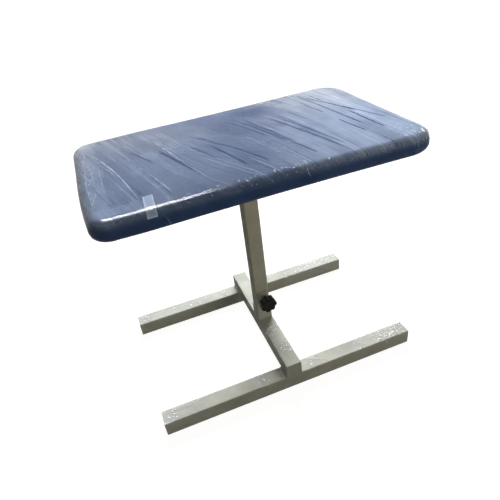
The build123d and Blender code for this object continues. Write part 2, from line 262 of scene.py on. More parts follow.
def add_bump(shader, height, strength, distance):
    """Feed a height into the shader's normal."""
    bump = add_node(shader.id_data, "Bump")
    set_inputs(bump, Strength=strength, Distance=distance, Height=height)
    feed(shader.inputs["Normal"], bump.outputs["Normal"])


NUMBER = "NodeSocketFloat"
COLOUR = "NodeSocketColor"
PLACE = "NodeSocketVector"


# ---------------------------------------------------------------- shared effects
def make_sprayed_paint():
    """Sprayed enamel: cloudy tone, orange peel and uneven gloss."""
    tree, given, result = new_group(
        "sprayed_paint",
        {
            "Paint": (0.5, 0.5, 0.5, 1),
            "Thin Coat": (0.4, 0.4, 0.4, 1),
            "Cloud Scale": 14.0,
            "Peel Scale": 420.0,
            "Gloss Low": 0.3,
            "Gloss High": 0.5,
        },
        ["Color", "Roughness", "Height"],
    )
    place = object_coordinates(tree)
    share = remap(noise_value(place, given["Cloud Scale"], 4.0, 0.6), 0.35, 0.68)
    colour = mix_colours(share, given["Paint"], given["Thin Coat"])
    peel = noise_value(place, given["Peel Scale"], 2.0, 0.4)
    spread = math_node("SUBTRACT", given["Gloss High"], given["Gloss Low"])
    gloss = math_node("ADD", multiply(share, spread), given["Gloss Low"])
    set_inputs(result, Color=colour, Roughness=gloss, Height=peel)
    return tree


def make_dust_and_top_light():
    """Dust, handling marks and painted light on what faces up, in patches: the tops are made lighter
    as if lit from above.
    """
    tree, given, result = new_group(
        "dust_and_top_light",
        {"Amount": 0.3, "Patch Scale": 9.0, "Speck Scale": 260.0},
        ["Mask"],
    )
    place = object_coordinates(tree)
    parts = add_node(tree, "SeparateXYZ")
    feed(parts.inputs[0], add_node(tree, "NewGeometry").outputs["Normal"])
    upward = remap(parts.outputs["Z"], 0.35, 0.95)
    patches = remap(noise_value(place, given["Patch Scale"], 4.0), 0.35, 0.7)
    specks = remap(noise_value(place, given["Speck Scale"], 2.0), 0.5, 0.75)
    both = math_node("MULTIPLY_ADD", specks, 0.4, patches)
    set_inputs(result, Mask=multiply(upward, both, given["Amount"]))
    return tree


def make_fine_grain():
    """Small raised cells, as embossed vinyl or moulded plastic has them."""
    tree, given, result = new_group(
        "fine_grain",
        {"Cell Scale": 900.0, "Softness": 0.5},
        ["Height", "Mask"],
    )
    place = object_coordinates(tree)
    cells = add_node(tree, "TexVoronoi", feature="SMOOTH_F1")
    set_inputs(cells, Vector=place, Scale=given["Cell Scale"], Smoothness=given["Softness"])
    wander = noise_value(place, 60.0)
    set_inputs(result, Height=multiply(cells.outputs["Distance"], wander), Mask=wander)
    return tree


def make_long_streaks():
    """Long thin marks along one direction: drawn steel, wood grain or stretched film."""
    tree, given, result = new_group(
        "long_streaks",
        {
            "Place": (0, 0, 0),
            "Across Scale": 300.0,
            "Along Scale": 6.0,
            "Low": 0.4,
            "High": 0.7,
        },
        ["Mask"],
    )
    along = given["Along Scale"]
    scaled = add_node(tree, "VectorMath", operation="MULTIPLY")
    feed(scaled.inputs[0], given["Place"])
    feed(scaled.inputs[1], join_xyz(tree, X=given["Across Scale"], Y=along, Z=along))
    streaks = noise_value(scaled.outputs["Vector"], 1.0, 3.0, 0.6)
    set_inputs(result, Mask=remap(streaks, given["Low"], given["High"]))
    return tree


def make_pulled_line():
    """One straight narrow mark in film from a start to an end, where it was pulled."""
    tree, given, result = new_group(
        "pulled_line",
        {
            "Place": (0, 0, 0),
            "Start X": 0.0,
            "Start Y": 0.2,
            "End X": 0.0,
            "End Y": -0.2,
            "Width": 0.004,
        },
        ["Mask"],
    )
    parts = add_node(tree, "SeparateXYZ")
    feed(parts.inputs[0], given["Place"])
    fallen = math_node("SUBTRACT", parts.outputs["Y"], given["Start Y"])
    share = math_node("DIVIDE", fallen, math_node("SUBTRACT", given["End Y"], given["Start Y"]))
    travel = math_node("SUBTRACT", given["End X"], given["Start X"])
    line_x = math_node("ADD", given["Start X"], multiply(travel, share))
    wobble = math_node("SUBTRACT", noise_value(given["Place"], 28.0, 2.0), 0.5)
    wobbly_x = math_node("ADD", parts.outputs["X"], multiply(wobble, 0.006))
    away = math_node("ABSOLUTE", math_node("SUBTRACT", wobbly_x, line_x))
    beside = remap(math_node("DIVIDE", away, given["Width"]), 0.25, 1.0, 1.0, 0.0)
    within = multiply(remap(share, 0.0, 0.18), remap(share, 0.8, 1.0, 1.0, 0.0))
    set_inputs(result, Mask=multiply(beside, within))
    return tree


sprayed_paint = make_sprayed_paint()
dust_and_top_light = make_dust_and_top_light()
fine_grain = make_fine_grain()
long_streaks = make_long_streaks()
pulled_line = make_pulled_line()


# ---------------------------------------------------------------- materials
def streaks_on(place, across, along, low=0.4, high=0.7):
    """Long streaks laid on these coordinates."""
    values = {"Across_Scale": across, "Along_Scale": along, "Low": low, "High": high}
    return place_group(place.id_data, long_streaks, Place=place, **values).outputs["Mask"]


def paint_material(name, paint, thin_coat, top_light_and_dust_amount, ripple=False):
    """Light silver-beige enamel on steel, lighter on top, dusty and with painted light; welds have
    ripples under it.
    """
    material, tree, shader = new_material(
        name, Coat_Roughness=0.3, Coat_IOR=1.3, Specular_IOR_Level=0.0
    )
    coat = place_group(tree, sprayed_paint, Paint=(*paint, 1), Thin_Coat=(*thin_coat, 1)).outputs
    # Painted light on the tops: what faces up is mixed toward a pale colour, in dusty patches.
    top_light_and_dust_mask = place_group(tree, dust_and_top_light, Amount=top_light_and_dust_amount).outputs["Mask"]
    set_inputs(
        shader,
        Base_Color=mix_colours(top_light_and_dust_mask, coat["Color"], (0.72, 0.73, 0.68)),
        Roughness=coat["Roughness"],
        Coat_Weight=remap(top_light_and_dust_mask, 0.0, 0.5, 0.05, 0.0),
    )
    if ripple:
        height = noise_value(object_coordinates(tree), 230.0, 1.0, 0.3)
        add_bump(shader, height, 0.9, 1.2 * MM)
    else:
        add_bump(shader, coat["Height"], 0.25, 0.3 * MM)
    return material


def zinc_material():
    """Dull zinc plate: drawn along its length, with faint spangle."""
    material, tree, shader = new_material("zinc_plate", Metallic=0.9)
    place = object_coordinates(tree)
    drawn = streaks_on(place, 260.0, 3.0)
    spangle = noise_value(place, 90.0, 2.0)
    colour = mix_colours(multiply(drawn, spangle), (0.46, 0.46, 0.45), (0.32, 0.33, 0.33))
    set_inputs(shader, Base_Color=colour, Roughness=remap(spangle, 0.3, 0.7, 0.28, 0.48))
    add_bump(shader, drawn, 0.15, 0.2 * MM)
    return material


def plastic_material(name, colour, worn, cell_scale):
    """Black moulded plastic with a fine spark-eroded grain and scuffed high spots."""
    material, tree, shader = new_material(name, Coat_Weight=0.0, Specular_IOR_Level=0.1)
    grain = place_group(tree, fine_grain, Cell_Scale=cell_scale, Softness=0.6).outputs
    scuffs = remap(noise_value(object_coordinates(tree), 120.0, 4.0, 0.7), 0.55, 0.8)
    rough = remap(grain["Mask"], 0.3, 0.7, 0.48, 0.64)
    set_inputs(shader, Base_Color=mix_colours(scuffs, colour, worn), Roughness=rough)
    add_bump(shader, grain["Height"], 0.5, 0.25 * MM)
    return material


def plywood_material():
    """Birch plywood: long pale grain with darker lines and a slow figure."""
    material, tree, shader = new_material("birch_plywood", Roughness=0.62)
    place = object_coordinates(tree, lean=math.pi / 2)
    grain = streaks_on(place, 140.0, 4.0, 0.35, 0.75)
    figure = streaks_on(place, 22.0, 2.0, 0.3, 0.8)
    colour = mix_colours(grain, (0.66, 0.5, 0.33), (0.5, 0.34, 0.2))
    colour = mix_colours(multiply(figure, 0.5), colour, (0.42, 0.27, 0.15))
    set_inputs(shader, Base_Color=colour)
    add_bump(shader, grain, 0.3, 0.3 * MM)
    return material


def foam_material():
    """Cream polyurethane foam with open cells."""
    material, tree, shader = new_material("open_cell_foam", Roughness=0.9)
    cells = place_group(tree, fine_grain, Cell_Scale=450.0, Softness=0.2).outputs
    colour = mix_colours(cells["Mask"], (0.78, 0.74, 0.6), (0.86, 0.83, 0.7))
    set_inputs(shader, Base_Color=colour)
    add_bump(shader, cells["Height"], 0.8, 0.8 * MM)
    return material


def vinyl_material():
    """Navy upholstery vinyl: embossed grain, slightly uneven dye and a soft gloss."""
    material, tree, shader = new_material(
        "navy_vinyl", Coat_Roughness=0.2, Coat_IOR=1.42, Specular_IOR_Level=0.0
    )
    grain = place_group(tree, fine_grain, Cell_Scale=780.0, Softness=0.5).outputs
    dye = remap(noise_value(object_coordinates(tree), 7.0, 5.0, 0.6), 0.3, 0.7)
    set_inputs(
        shader,
        Base_Color=mix_colours(dye, (0.012, 0.044, 0.145), (0.02, 0.06, 0.19)),
        Roughness=remap(grain["Mask"], 0.3, 0.7, 0.4, 0.52),
        Coat_Weight=remap(dye, 0.0, 1.0, 0.22, 0.34),
    )
    add_bump(shader, grain["Height"], 0.05, 0.25 * MM)
    return material


def add_clear_lines(place):
    """The dark narrow lines on the pad where pulled film clings and lets the vinyl show."""

    def line(start, end, width):
        """A line from start to end and a fifth past each, its width in millimetres."""
        start, end = Vector(start), Vector(end)
        start, end = start.lerp(end, -0.2), start.lerp(end, 1.2)
        made = place_group(place.id_data, pulled_line, Place=place, Width=width * MM)
        set_inputs(made, Start_X=start.x, Start_Y=start.y, End_X=end.x, End_Y=end.y)
        return made.outputs["Mask"]

    lines = [
        line((-0.114, 0.08), (-0.055, -0.033), 4.2),
        line((-0.082, -0.027), (-0.045, -0.167), 5),
        line((-0.048, -0.047), (0.006, -0.173), 5),
        line((-0.095, 0.06), (-0.07, -0.01), 3.6),
        line((0.038, 0.107), (0.087, -0.087), 4.6),
        line((0.056, 0.093), (0.1, -0.1), 4.2),
        line((0.1, -0.12), (0.122, -0.2), 4.2),
        line((0.122, 0.053), (0.184, -0.187), 4.6),
        line((0.152, 0.027), (0.2, -0.18), 5),
        line((0.273, 0.193), (0.302, -0.087), 4.6),
        line((0.248, 0.133), (0.262, 0.033), 3.6),
        line((0.327, -0.02), (0.337, -0.153), 4.2),
        line((0.27, -0.06), (0.285, -0.153), 3.6),
        line((-0.28, 0.073), (-0.245, -0.02), 4.2),
        line((-0.21, 0.02), (-0.163, -0.127), 6),
        line((0.29, 0.16), (0.34, 0.0), 4),
        line((0.31, 0.1), (0.375, -0.09), 3.6),
        line((0.015, 0.11), (0.06, -0.04), 3.6),
        line((-0.13, 0.0), (-0.1, -0.09), 3.6),
    ]
    total = lines[0]
    for other in lines[1:]:
        total = math_node("MAXIMUM", total, other)
    return total


def film_material(name, tint, far_tint, haze_gain, milk, across, along, clear_lines=None):
    """Clear stretch film: nearly clear where it clings, milky in its streaks and creases.

    The film's own marks come with its mesh: film_x and film_y are its flat coordinates,
    fold_across is its place across the folds, haze_and_reflection says how milky a region is,
    partly as painted reflection, crease is 1 on a raised fold and crumple is 1 on loose film,
    where white glints are painted."""
    material, tree, shader = new_material(name, IOR=1.4)
    marks = {
        mark: add_node(tree, "Attribute", attribute_name=mark).outputs["Fac"]
        for mark in film_marks
    }
    place = join_xyz(tree, X=marks["fold_across"], Y=marks["film_y"])
    flat = join_xyz(tree, X=marks["film_x"], Y=marks["film_y"])
    bands = streaks_on(place, across, along, 0.32, 0.68)
    lines = streaks_on(place, 8 * across, 1.6 * along, 0.54, 0.68)
    clear = streaks_on(place, 7 * across, 1.4 * along, 0.57, 0.66)
    clouds = remap(noise_value(flat, 10.0, 5.0, 0.6), 0.2, 0.8, 0.72, 1.04)
    veil = math_node("MULTIPLY_ADD", bands, 0.3, 0.66)
    veil = multiply(veil, clouds, remap(clear, 0.0, 1.0, 1.0, 0.66))
    if clear_lines:
        veil = multiply(veil, remap(clear_lines(flat), 0.0, 1.0, 1.0, 0.22))
    veil = math_node("ADD", veil, multiply(lines, 0.32))
    veil = multiply(veil, marks["haze_and_reflection"], haze_gain)
    # Painted glints: white specks of noise where the film is crumpled, shown white with the raised
    # creases.
    loose = multiply(remap(noise_value(flat, 85.0, 2.0), 0.6, 0.68), marks["crumple"])
    raised = multiply(math_node("MAXIMUM", marks["crease"], loose), milk)
    alpha = math_node("ADD", veil, raised)
    alpha.node.use_clamp = True
    # Painted reflection: the pad's film turns greyer toward the rear, where the top is seen at a
    # flatter angle.
    colour = mix_colours(remap(marks["film_y"], -0.1, 0.24), tint, far_tint)
    colour = mix_colours(raised, colour, (0.96, 0.97, 0.98))
    rough = remap(clouds, 0.76, 1.0, 0.12, 0.2)
    set_inputs(shader, Alpha=alpha, Base_Color=colour, Roughness=rough)
    add_bump(shader, lines, 0.15, 0.3 * MM)
    return material


base_paint = paint_material("silver_beige_enamel", (0.52, 0.53, 0.47), (0.45, 0.46, 0.4), 0.45)
# Painted light: the column's enamel is the base's paint made lighter, to offset the shade of the pad
# above it.
column_paint_lightened_for_shade = paint_material("column_enamel_lightened_for_shade", (0.57, 0.575, 0.49), (0.5, 0.5, 0.42), 0.3)
weld_paint = paint_material("painted_weld", (0.47, 0.48, 0.41), (0.36, 0.36, 0.3), 0.2, ripple=True)
zinc = zinc_material()
knob_plastic = plastic_material("knob_plastic", (0.006, 0.0065, 0.005), (0.012, 0.012, 0.01), 1100.0)
cap_plastic = plastic_material("cap_plastic", (0.02, 0.02, 0.02), (0.035, 0.035, 0.035), 900.0)
plywood = plywood_material()
foam = foam_material()
vinyl = vinyl_material()
# far_pad_tint is the film's greyer colour toward the pad's rear, a painted reflection.
pad_tint, far_pad_tint, bar_tint = (0.52, 0.67, 0.97), (0.6, 0.67, 0.8), (0.84, 0.87, 0.84)
pad_film = film_material(
    "pad_stretch_film", pad_tint, far_pad_tint, 0.97, 0.9, 16.0, 1.5, add_clear_lines
)
bar_film = film_material("bar_stretch_film", bar_tint, bar_tint, 0.14, 1.3, 30.0, 8.0)

node_materials = {
    base_paint: (
        "front_foot_bar",
        "rear_foot_bar",
        "foot_bar_end_plates",
        "cross_bar",
        "cross_bar_end_plates",
        "post_socket",
    ),
    column_paint_lightened_for_shade: (
        "outer_column",
        "column_top_plate",
        "clamp_block",
        "front_support_rail",
        "rear_support_rail",
    ),
    weld_paint: (
        "cross_bar_welds",
        "socket_welds",
        "column_top_weld",
        "clamp_block_weld",
        "rail_welds",
    ),
    zinc: ("inner_post", "clamp_stud", "board_bolts", "bolt_washers", "tee_nuts"),
    knob_plastic: ("clamp_knob",),
    cap_plastic: ("rail_end_caps",),
    plywood: ("plywood_board",),
}
for material, names in node_materials.items():
    for name in names:
        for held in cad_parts[name].material_slots:
            held.material = material


# ---------------------------------------------------------------- padded top
def ring_of_points(half_x, half_y, corners, draw_in, cells_x, cells_y):
    """Points round a rounded rectangle, the same number at each size, as the border of a grid.

    They start at the corner of lowest x and y and run counter-clockwise, with a point at the
    middle of each rounded corner."""

    def one_side(half_along, half_across, cells, first, last):
        points = []
        for step in range(cells):
            along = -half_along + 2 * half_along * step / cells
            corner = first if along < 0 else last
            into_corner = (abs(along) - (half_along - corner)) / corner
            if into_corner > 0:
                angle = math.radians(90 - 45 * into_corner)
                reach = half_along - corner + corner * math.cos(angle)
                points.append(
                    (math.copysign(reach, along), half_across - corner + corner * math.sin(angle))
                )
            else:
                share = along / (half_along - corner)
                points.append((along, half_across - draw_in * (1 - share**2)))
        return points

    front_left, front_right, rear_right, rear_left = corners
    front = one_side(half_x, half_y, cells_x, front_left, front_right)
    right = one_side(half_y, half_x, cells_y, front_right, rear_right)
    rear = one_side(half_x, half_y, cells_x, rear_right, rear_left)
    left = one_side(half_y, half_x, cells_y, rear_left, front_left)
    points = [Vector((x, -y)) for x, y in front]
    points += [Vector((x, y)) for y, x in right]
    points += [Vector((-x, y)) for x, y in rear]
    points += [Vector((-x, -y)) for y, x in left]
    return points


def grid_inside(ring, cells_x, cells_y):
    """Rows of points that fill a ring, blended from its four sides."""
    front = ring[: cells_x + 1]
    right = ring[cells_x : cells_x + cells_y + 1]
    rear = ring[cells_x + cells_y : 2 * cells_x + cells_y + 1][::-1]
    left = (ring[2 * cells_x + cells_y :] + ring[:1])[::-1]
    rows = []
    for j in range(cells_y + 1):
        v = j / cells_y
        row = []
        for i in range(cells_x + 1):
            u = i / cells_x
            sides = (1 - v) * front[i] + v * rear[i] + (1 - u) * left[j] + u * right[j]
            corners = (1 - v) * ((1 - u) * front[0] + u * front[-1])
            corners += v * ((1 - u) * rear[0] + u * rear[-1])
            row.append(sides - corners)
        rows.append(row)
    return rows


def side_profile(skin, start):
    """Insets and heights from the underside, round the side and up to the edge of the crown."""
    bottom_radius = pad_bottom_edge_radius - skin
    top_radius = pad_top_edge_radius - skin
    last_turn = math.radians(84)
    low = pad_underside + pad_bottom_edge_radius
    high = pad_top - pad_crown - pad_top_edge_radius * math.sin(last_turn)
    profile = list(start)
    for step in range(6):
        turn = math.radians(90) * step / 5
        inset = pad_bottom_edge_radius - bottom_radius * math.sin(turn)
        profile.append((inset, low - bottom_radius * math.cos(turn)))
    for step in range(10):
        turn = last_turn * step / 9
        inset = pad_top_edge_radius - top_radius * math.cos(turn)
        profile.append((inset, high + top_radius * math.sin(turn)))
    return profile


def padded_shell(name, skin, start, closed, material):
    """The pad's form as clean quads: rings up the side and a crowned grid over the top."""
    cells_x, cells_y = pad_cells_x, pad_cells_y
    count = 2 * (cells_x + cells_y)
    vertices, faces, rings = [], [], []
    for inset, height in side_profile(skin, start):
        half_x = pad_half_x - inset
        half_y = pad_half_y - inset
        corners = [max(radius - inset, 20 * MM) for radius in corner_radius]
        draw_in = pad_draw_in * (1 - inset / pad_half_y)
        ring = ring_of_points(half_x, half_y, corners, draw_in, cells_x, cells_y)
        rings.append(ring)
        vertices += [Vector((*point, height)) for point in ring]
    for level in range(len(rings) - 1):
        for step in range(count):
            after = (step + 1) % count
            low, high = level * count, (level + 1) * count
            faces.append((low + step, low + after, high + after, high + step))

    def fill(ring_index, crown, facing_up):
        ring = rings[ring_index]
        height = vertices[ring_index * count].z
        limit_x = max(point.x for point in ring)
        limit_y = max(point.y for point in ring)
        rows = grid_inside(ring, cells_x, cells_y)
        numbers = {}
        for step in range(count):
            if step < cells_x:
                place = (step, 0)
            elif step < cells_x + cells_y:
                place = (cells_x, step - cells_x)
            elif step < 2 * cells_x + cells_y:
                place = (2 * cells_x + cells_y - step, cells_y)
            else:
                place = (0, count - step)
            numbers[place] = ring_index * count + step
        for j in range(1, cells_y):
            for i in range(1, cells_x):
                point = rows[j][i]
                rise = (1 - (point.x / limit_x) ** 2) * (1 - (point.y / limit_y) ** 2)
                numbers[(i, j)] = len(vertices)
                vertices.append(Vector((point.x, point.y, height + crown * rise**0.8)))
        for j in range(cells_y):
            for i in range(cells_x):
                corners = [numbers[(i, j)], numbers[(i + 1, j)]]
                corners += [numbers[(i + 1, j + 1)], numbers[(i, j + 1)]]
                faces.append(tuple(corners if facing_up else corners[::-1]))

    fill(len(rings) - 1, pad_crown, True)
    if closed:
        fill(0, 0.0, False)
    return new_piece(name, vertices, faces, "top", material)


hem_start = [
    (hem_inset + (pad_bottom_edge_radius - hem_inset) * step / hem_steps, pad_underside)
    for step in range(hem_steps)
]
cover = padded_shell("pad_cover", 0.0, hem_start, False, vinyl)
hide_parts("vinyl_cover")

foam_floor = board_high.z + foam_above_board
board_side = pad_half_x - board_high.x - foam_beside_board
foam_start = [
    (board_side, foam_floor),
    (board_side, pad_underside + foam_skin),
]
core = padded_shell("foam_core", foam_skin, foam_start, True, foam)
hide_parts("foam_pad")


def swell_cover(piece, limit):
    """Let the cover swell over the foam as stretched vinyl does, held at its hem.

    The foam keeps it from moving inwards, and the most that it swells is the limit."""
    held = piece.vertex_groups.new(name="stapled_hem")
    low = [v.index for v in piece.data.vertices if v.co.z < pad_underside + 1 * MM]
    held.add(low, 1.0, "REPLACE")
    rest = [(v.co.copy(), v.normal.copy()) for v in piece.data.vertices]
    cloth = piece.modifiers.new("stretched_vinyl", "CLOTH")
    set_all(
        cloth.settings,
        quality=6,
        mass=0.4,
        tension_stiffness=30,
        compression_stiffness=30,
        shear_stiffness=10,
        bending_stiffness=2.0,
        vertex_group_mass=held.name,
        use_pressure=True,
        uniform_pressure_force=4.0,
    )
    cloth.settings.effector_weights.gravity = 0
    set_all(cloth.collision_settings, use_collision=False, use_self_collision=False)
    set_all(cloth.point_cache, frame_start=1, frame_end=swell_frames)
    for moment in range(1, swell_frames + 1):
        bpy.context.scene.frame_set(moment)
    apply_modifiers(piece)
    swells = [
        max(0.0, (vertex.co - start).dot(outward))
        for vertex, (start, outward) in zip(piece.data.vertices, rest)
    ]
    share = limit / max(swells)
    for vertex, (start, outward), swell in zip(piece.data.vertices, rest, swells):
        vertex.co = start + outward * (swell * share)
    bpy.context.scene.frame_set(1)


swell_cover(cover, swell_limit)


def pucker_corners(piece, depth):
    """Small pleats where the vinyl is pulled round the corners and under the board."""
    for vertex in piece.data.vertices:
        x, y, z = vertex.co
        from_corner = Vector((pad_half_x - pad_plan_corner, pad_half_y - pad_plan_corner))
        offset = Vector((abs(x), abs(y))) - from_corner
        if min(offset) <= 0:
            continue
        angle = math.atan2(offset.y, offset.x)
        low = max(0.0, 1 - (z - pad_underside) / pleat_height)
        towards_middle = math.sin(2 * angle) ** 0.5
        wave = math.sin(angle * pleats_per_turn + 2 * noise.noise(Vector((x, y, 0)) * 30))
        outward = Vector((offset.x * math.copysign(1, x), offset.y * math.copysign(1, y), 0))
        move = depth * low * towards_middle * (wave - 1) / 2
        vertex.co += outward.normalized() * move
        if z < pad_underside + 1 * MM:
            vertex.co.z -= depth * 0.8 * towards_middle * (wave + 1) / 2


pucker_corners(cover, pleat_depth)


def thicken(piece, thickness):
    """Round the quads once and give the sheet its thickness on the inside."""
    rounding = piece.modifiers.new("rounding", "SUBSURF")
    rounding.levels = 1
    rounding.render_levels = 1
    if thickness:
        shell = piece.modifiers.new("thickness", "SOLIDIFY")
        shell.thickness = thickness
        shell.offset = -1
    apply_modifiers(piece)


def settle_pad(piece):
    """The hand-pulled cover draws each corner in by its own amount and bulges in between."""
    for vertex in piece.data.vertices:
        along = max(-1.0, min(1.0, vertex.co.x / pad_half_x))
        across = max(-1.0, min(1.0, vertex.co.y / pad_half_y))
        right, rear = (1 + along) / 2, (1 + across) / 2
        if across < 0:
            nearest = 0 if along < 0 else 1
        else:
            nearest = 3 if along < 0 else 2
        end_share = abs(along) ** 3
        side_share = abs(across) ** 3
        draw_x = corner_draw_x[nearest] * end_share * across**2
        draw_y = corner_draw_y[nearest] * side_share * along**2
        if along > 0:
            draw_x += right_end_hollow * end_share * (1 - across**2)
        draw_y -= side_bulge * side_share * (1 - along**2)
        shares = [(1 - right) * (1 - rear), right * (1 - rear), right * rear, (1 - right) * rear]
        rise = sum(share * height for share, height in zip(shares, corner_rise))
        up = (vertex.co.z - pad_underside) / (pad_top - pad_underside)
        lip = right_lip_lift * right * (1 - up) * gently(-across, 0.86, 1.0)
        vertex.co.x -= math.copysign(draw_x, along)
        vertex.co.y -= math.copysign(draw_y, across)
        vertex.co.z += rise * up + lip


for soft_piece in (cover, core):
    settle_pad(soft_piece)

pad_surface = cover.copy()
pad_surface.data = cover.data.copy()
for key in [name for name in pad_surface.keys() if name.startswith("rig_")]:
    del pad_surface[key]
thicken(pad_surface, 0)
thicken(cover, cover_thickness)


# ---------------------------------------------------------------- stretch film on the pad
def fold_slope(place):
    """Sideways travel of the film's folds for each unit of depth, at this place along the pad."""
    return 0.25 + 0.2 * near(place, -0.04, 0.1) - 0.16 * gently(place, 0.12, 0.3)


def ridge(across, along, per_metre, stretch):
    """How near a point is to the top of a long wandering fold, from 0 to 1."""
    wander = noise.noise(Vector((across * per_metre, along * stretch, per_metre)))
    return max(0.0, 1 - abs(wander) * 5)


def pad_haze_and_reflection(u, v, facing_up):
    """How milky the film on the pad is at its flat coordinates, in part as painted reflection."""
    haze_and_reflection = 0.5 + 0.16 * gently(-u, 0.365, 0.378)
    haze_and_reflection += 0.3 * near(u, -0.41, 0.06) * near(v, 0.23, 0.07)
    haze_and_reflection -= 0.16 * near(u, 0.0, 0.13)
    haze_and_reflection -= 0.3 * near(u, 0.09, 0.1) * near(v, 0.18, 0.07)
    haze_and_reflection -= 0.12 * near(u, -0.18, 0.09) * near(v, -0.23, 0.06)
    haze_and_reflection += 0.14 * near(u, 0.06, 0.16) * near(v, -0.2, 0.09)
    haze_and_reflection += 0.12 * near(u, 0.04, 0.1) * near(v, 0.23, 0.08)
    haze_and_reflection -= 0.12 * near(u, -0.12, 0.1) * near(v, 0.23, 0.06)
    # Painted reflection: the film grows milkier toward the right end, where it mirrors the bright
    # light at the right rear.
    haze_and_reflection += 0.42 * gently(u, 0.02, 0.4)
    haze_and_reflection += 0.2 * gently(u, 0.36, 0.43)
    # Painted reflection on the top: the film is far less milky where it faces sideways than where it
    # faces up, save down the left end.
    sides = 0.06 + 0.5 * gently(-u, 0.43, 0.46)
    return max(0.05, haze_and_reflection) * (sides + (1 - sides) * facing_up)


def pad_crumple(u, v):
    """How loose the film is, and where its material paints glints: at the two ends, along the front
    edge and at the right corner.
    """
    left_end = 0.3 * gently(-u, 0.375, 0.4) * near(v, 0.0, 0.2)
    right_corner = near(u, 0.43, 0.075) * near(v, -0.235, 0.06)
    front_edge = 0.3 * near(v, -0.262, 0.014) * gently(u, -0.28, -0.2)
    ends = 0.4 * gently(abs(u), 0.44, 0.47)
    return max(left_end, right_corner, front_edge, ends)


def wrap_pad():
    """One tight layer of film over the top and sides, tucked a little way under the hem."""
    piece = pad_surface.copy()
    piece.data = pad_surface.data.copy()
    piece.name = "pad_film"
    piece.data.name = "pad_film"
    bpy.context.scene.collection.objects.link(piece)
    piece.data.materials.clear()
    piece.data.materials.append(pad_film)
    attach(piece, "top")
    shoulder = pad_top - pad_crown - 2 * MM
    marks, moved = [], []
    for vertex in piece.data.vertices:
        normal = vertex.normal.copy()
        drop = max(0.0, shoulder - vertex.co.z)
        side = Vector((normal.x, normal.y))
        if side.length > 0.05:
            side.normalize()
        u = vertex.co.x + side.x * drop
        v = vertex.co.y + side.y * drop
        across = u + v * fold_slope(u)
        facing_up = gently(normal.z, 0.25, 0.95)
        crumple = pad_crumple(u, v)
        fold = 0.8 * ridge(across, v, 34.0, 2.2) ** 2 + 0.4 * ridge(across, v, 85.0, 4.0) ** 2
        place = Vector((u, v, 0.3))
        loose = abs(noise.noise(place * 55)) + abs(noise.noise(place * 120))
        raised = (0.7 * fold * (0.35 + 0.65 * facing_up) + 2.2 * loose * crumple) * MM
        moved.append(vertex.co + normal * (film_gap + raised))
        marks.append((across, u, v, pad_haze_and_reflection(u, v, facing_up), 0.0, crumple))
    for vertex, place in zip(piece.data.vertices, moved):
        vertex.co = place
    mark_film(piece, marks)
    return piece


def on_pad(surface, u, v):
    """The place and outward direction on the pad at the film's flat coordinates."""

    def fold_down(flat, half):
        straight = half - pad_top_edge_radius
        past = abs(flat) - straight
        if past <= 0:
            return flat, 0.0
        turn = min(past / pad_top_edge_radius, math.pi / 2)
        reach = straight + pad_top_edge_radius * math.sin(turn)
        fall = pad_top_edge_radius * (1 - math.cos(turn))
        fall += max(0.0, past - pad_top_edge_radius * math.pi / 2)
        return math.copysign(reach, flat), fall

    x, fall_x = fold_down(u, pad_half_x)
    y, fall_y = fold_down(v, pad_half_y)
    guess = Vector((x, y, pad_top - pad_crown - max(fall_x, fall_y)))
    place, normal, _, _ = surface.find_nearest(guess)
    return place, normal


def film_strips(name, strips, body, material):
    """Strips of film in one piece; each is rows of places, each place with its six marks."""
    vertices, faces, marks = [], [], []
    for rows in strips:
        first = len(vertices)
        wide = len(rows[0])
        for row in rows:
            vertices += [place for place, _ in row]
            marks += [mark for _, mark in row]
        for j in range(len(rows) - 1):
            for i in range(wide - 1):
                low = first + j * wide + i
                faces.append((low, low + 1, low + wide + 1, low + wide))
    piece = new_piece(name, vertices, faces, body, material)
    mark_film(piece, marks)
    return piece


def crease_rows(find_place, route, width, height, strength):
    """A raised fold in the film along a route of two or three flat places."""
    route = [Vector(place) for place in route]
    if len(route) == 2:
        route.insert(1, route[0].lerp(route[1], 0.5))
    start, middle, end = route
    steps = max(6, int((end - start).length / (5 * MM)))
    side = Vector((end.y - start.y, start.x - end.x)).normalized()
    rows = []
    for step in range(steps + 1):
        share = step / steps
        taper = math.sin(math.pi * min(1.0, 0.06 + share * 0.9)) ** 0.5
        wave = noise.noise(Vector((start.x * 90, share * 5, 0.5)))
        along = start * (1 - share) ** 2 + (4 * middle - start - end) * (share * (1 - share))
        along = along + end * share**2 + side * (wave * 1.2 * MM)
        worn = 0.7 + 0.6 * noise.noise(Vector((start.x * 50, share * 16, 3.5)))
        row = []
        for place_across in (-1, -0.55, 0, 0.55, 1):
            flat = along + side * (place_across * width / 2 * (0.6 + 0.4 * taper))
            rise = (1 - place_across**2) * taper
            place, normal = find_place(flat.x, flat.y)
            place = place + normal * (film_gap + 0.7 * MM + rise * height)
            row.append((place, (flat.x, flat.x, flat.y, 0.0, rise * strength * worn, 0.0)))
        rows.append(row)
    return rows


def sparkles(find_place, draw, middle, reach, count, ends=(-1, 1)):
    """Short white folds strewn round a place where the film is loose, between its ends: painted
    glints on small real folds.
    """
    found = []
    for _ in range(count):
        place = Vector((draw.gauss(middle[0], reach[0]), draw.gauss(middle[1], reach[1])))
        place.x = max(ends[0] + glint_margin, min(ends[1] - glint_margin, place.x))
        turn = draw.uniform(0, math.pi)
        length = draw.uniform(4, 13) * MM
        run = Vector((math.cos(turn), math.sin(turn))) * length
        width, strength = draw.uniform(2.5, 5.5) * MM, draw.uniform(0.6, 1.8)
        found.append(crease_rows(find_place, [place, place + run], width, 0.6 * MM, strength))
    return found


